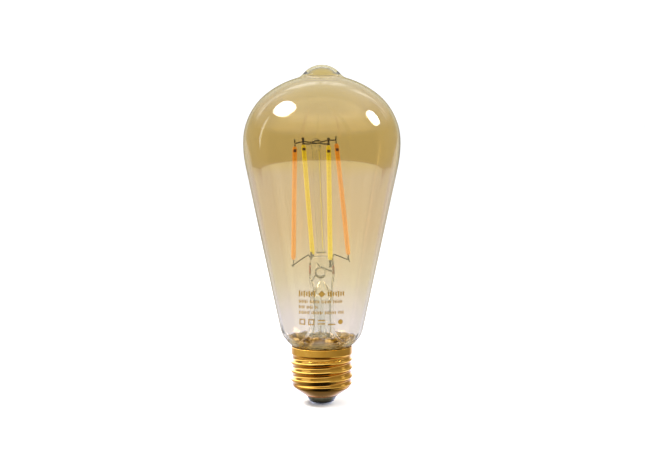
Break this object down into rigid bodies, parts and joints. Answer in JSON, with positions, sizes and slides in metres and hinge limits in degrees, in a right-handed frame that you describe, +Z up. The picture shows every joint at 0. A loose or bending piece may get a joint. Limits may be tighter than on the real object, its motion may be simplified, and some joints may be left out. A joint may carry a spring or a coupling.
{
  "type": "smart filament light bulb",
  "caption": "Tunable-white smart lamp: pear-shaped amber glass bulb with upright LED filaments on a glass mount, driver and radio module in a screw cap.",
  "frame": {"origin": "middle of the flat outer face of the centre contact, the lowest point of the lamp", "axes": "+Z up the lamp's axis from the contact to the nub of the glass, -Y the front, +X to the right seen from the front"},
  "size_m": [0.065, 0.065, 0.141],
  "materials": {
    "amber_glass": "clear gloss glass with an amber tint, strongest over the upper half",
    "clear_glass": "clear lead-free stem glass, fire polished",
    "warm_phosphor": "orange phosphor silicone over LED chips",
    "cool_phosphor": "yellow phosphor silicone over LED chips",
    "nickel_wire": "oxidised nickel-plated wire and strip",
    "dumet_wire": "red copper-clad sealing wire",
    "gold_brass": "bright gold-tone rolled sheet",
    "solder": "tinned, satin",
    "black_glass": "dark glass insulator, gloss",
    "cement": "baked capping cement, matt",
    "circuit_board": "green solder mask on glass-fibre board",
    "module_board": "dark blue solder mask on glass-fibre board",
    "shield_steel": "tinned steel can",
    "chip_plastic": "moulded epoxy",
    "capacitor_film": "shrink film over an aluminium can",
    "ferrite": "sintered ferrite, matt",
    "resistor_lacquer": "flameproof lacquer",
    "sleeve_film": "translucent insulating film",
    "red_insulation": "wire insulation",
    "black_insulation": "wire insulation"
  },
  "bodies": {
    "root": {"glass_envelope": "amber_glass", "cap_shell": "gold_brass", "cap_insulator": "black_glass", "centre_contact": "solder", "capping_cement": "cement", "glass_stem": "clear_glass", "exhaust_tube": "clear_glass", "support_rod": "clear_glass", "warm_filament_right": "warm_phosphor", "warm_filament_right_bottom_tab": "nickel_wire", "warm_filament_right_top_tab": "nickel_wire", "cool_filament_back": "cool_phosphor", "cool_filament_back_bottom_tab": "nickel_wire", "cool_filament_back_top_tab": "nickel_wire", "warm_filament_left": "warm_phosphor", "warm_filament_left_bottom_tab": "nickel_wire", "warm_filament_left_top_tab": "nickel_wire", "cool_filament_front": "cool_phosphor", "cool_filament_front_bottom_tab": "nickel_wire", "cool_filament_front_top_tab": "nickel_wire", "warm_bridge_wire": "nickel_wire", "cool_bridge_wire": "nickel_wire", "common_lead_inner": "nickel_wire", "common_branch_wire": "nickel_wire", "warm_lead_inner": "nickel_wire", "cool_lead_inner": "nickel_wire", "common_lead_dumet": "dumet_wire", "common_lead_outer": "nickel_wire", "warm_lead_dumet": "dumet_wire", "warm_lead_outer": "nickel_wire", "cool_lead_dumet": "dumet_wire", "cool_lead_outer": "nickel_wire", "board_sleeve": "sleeve_film", "driver_board": "circuit_board", "bulk_capacitor": "capacitor_film", "power_inductor": "ferrite", "fuse_resistor": "resistor_lacquer", "bridge_rectifier": "chip_plastic", "driver_chip": "chip_plastic", "wifi_module_board": "module_board", "wifi_shield_can": "shield_steel", "wifi_antenna": "dumet_wire", "live_wire": "red_insulation", "neutral_wire": "black_insulation"}
  },
  "joints": []
}
